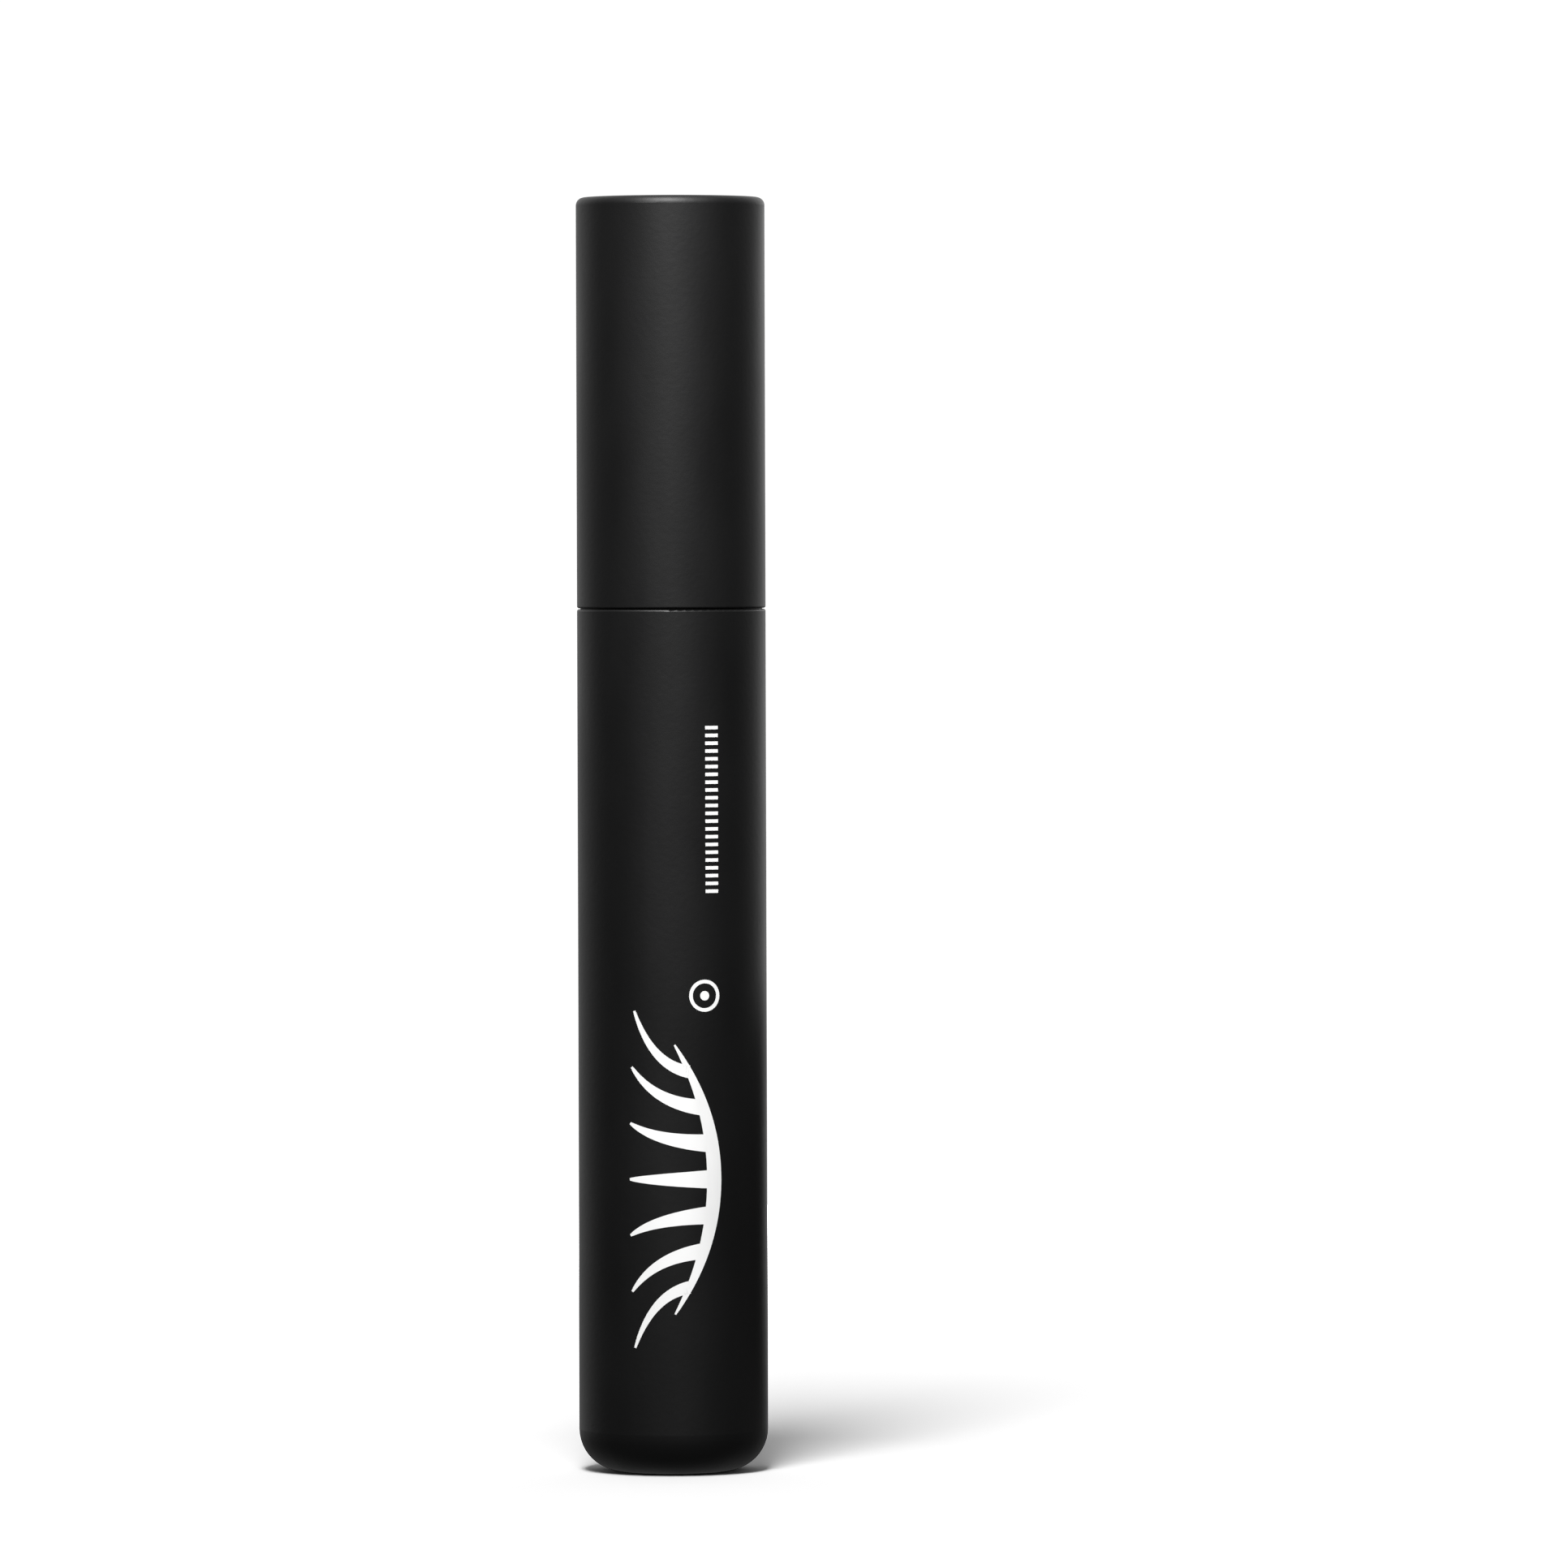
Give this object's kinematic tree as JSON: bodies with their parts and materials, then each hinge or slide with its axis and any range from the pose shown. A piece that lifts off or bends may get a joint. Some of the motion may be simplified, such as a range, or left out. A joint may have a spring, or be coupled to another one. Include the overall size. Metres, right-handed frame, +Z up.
{
  "type": "mascara tube",
  "caption": "Closed cylindrical mascara tube: rounded double-walled body with threaded neck and wiper, and a screw cap carrying a rod and a twisted-wire brush that draws out.",
  "frame": {"origin": "centre of the base, on the surface that the tube stands on", "axes": "+Z up along the tube's axis to the top of the cap; +X to the right of the printed front, which faces -Y"},
  "size_m": [0.02, 0.02, 0.135],
  "materials": {
    "body_plastic": "soft-touch matte black",
    "cap_plastic": "soft-touch matte black",
    "liner_plastic": "satin moulded, charcoal",
    "bottle_plastic": "satin moulded, black",
    "wiper_plastic": "soft moulded, charcoal",
    "rod_plastic": "glossy black",
    "gasket": "foamed, off-white",
    "paste": "wet black paste",
    "bristle_paste": "nylon bristles wet with black paste",
    "wire": "drawn steel, coated with paste",
    "label": "satin sticker, blank"
  },
  "bodies": {
    "tube": {"outer_shell": "body_plastic", "base_label": "label", "inner_bottle": "bottle_plastic", "wiper": "wiper_plastic", "mascara_fill": "paste"},
    "gasket": {"seal_washer": "gasket"},
    "applicator": {"outer_cap": "cap_plastic", "inner_cap": "liner_plastic", "rod": "rod_plastic", "brush_wire": "wire", "bristles": "bristle_paste"}
  },
  "joints": [
    {"name": "draw_out", "type": "slide", "parent": "tube", "child": "gasket", "axis": [0, 0, 1], "range_m": [0, 0.096]},
    {"name": "unscrew", "type": "hinge", "parent": "gasket", "child": "applicator", "pos_m": [0, 0, 0.0915], "axis": [0, 0, 1], "range_deg": [0, 5760], "deforming": ["bristles"]}
  ],
  "couplings": [
    {"joint": "unscrew", "follows": "draw_out", "rad_per_m": 1047.2}
  ]
}
